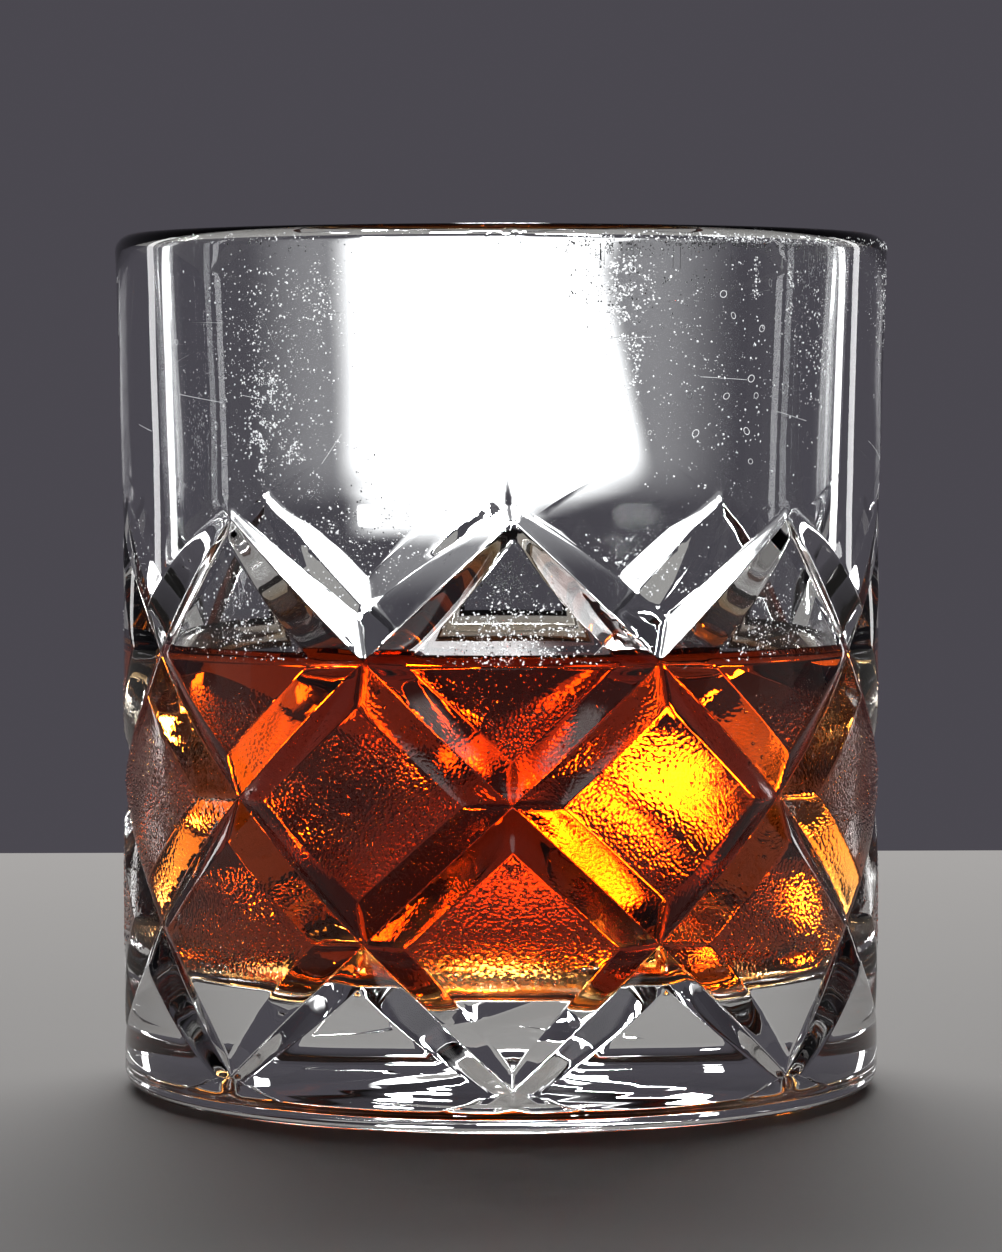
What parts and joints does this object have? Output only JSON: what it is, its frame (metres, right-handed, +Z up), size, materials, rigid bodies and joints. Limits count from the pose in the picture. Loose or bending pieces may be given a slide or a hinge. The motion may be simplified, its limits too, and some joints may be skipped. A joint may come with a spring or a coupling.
{
  "type": "sazerac in a glass",
  "caption": "Sazerac, a clear amber-red rye cocktail, served neat in a heavy pressed double old-fashioned glass with crossed V cuts, a plain upper band and a thick base.",
  "frame": {"origin": "middle of the foot, level with the surface that the glass stands on", "axes": "+Z up along the axis of the glass, -Y towards a column of nodes of the cut pattern"},
  "size_m": [0.086, 0.086, 0.0947],
  "materials": {
    "glass": "clear pressed soda-lime glass, fire polished, with a misty film of fine drops on the cut outside",
    "drink": "clear liquid, deep red where it is thick and amber to yellow where light passes through"
  },
  "bodies": {
    "root": {"glass": "glass", "drink": "drink"}
  },
  "joints": []
}
